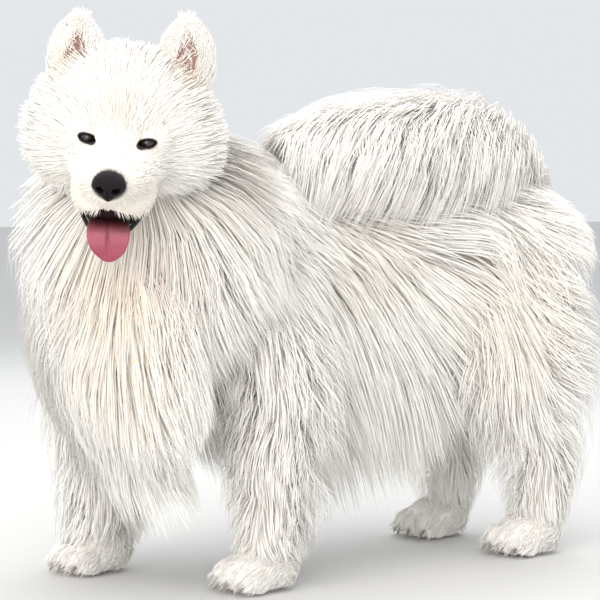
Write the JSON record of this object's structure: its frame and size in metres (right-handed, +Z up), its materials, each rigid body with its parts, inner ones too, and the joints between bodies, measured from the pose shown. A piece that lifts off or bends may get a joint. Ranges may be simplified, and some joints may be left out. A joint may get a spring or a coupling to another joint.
{
  "type": "samoyed dog model",
  "caption": "Life-size still model of a standing long-coated spitz dog, head turned aside, mouth open, plumed tail curled over the back, resting on four flat paw soles",
  "frame": {"origin": "centre of the bounding box's footprint, on the floor under the paws", "axes": "+Z up, the dog faces -Y, its left side is +X"},
  "size_m": [0.4564, 0.9106, 0.7214],
  "materials": {
    "coat": "matte",
    "nose_skin": "satin",
    "eye": "gloss",
    "tongue": "satin"
  },
  "bodies": {
    "root": {"head": "coat", "ear_left": "coat", "ear_right": "coat", "eye_left": "eye", "eye_right": "eye", "nose": "nose_skin", "jaw": "coat", "tongue": "tongue", "neck": "coat", "torso": "coat", "tail": "coat", "leg_front_left": "coat", "leg_front_right": "coat", "leg_rear_left": "coat", "leg_rear_right": "coat", "paw_front_left": "coat", "paw_front_right": "coat", "paw_rear_left": "coat", "paw_rear_right": "coat"}
  },
  "joints": []
}
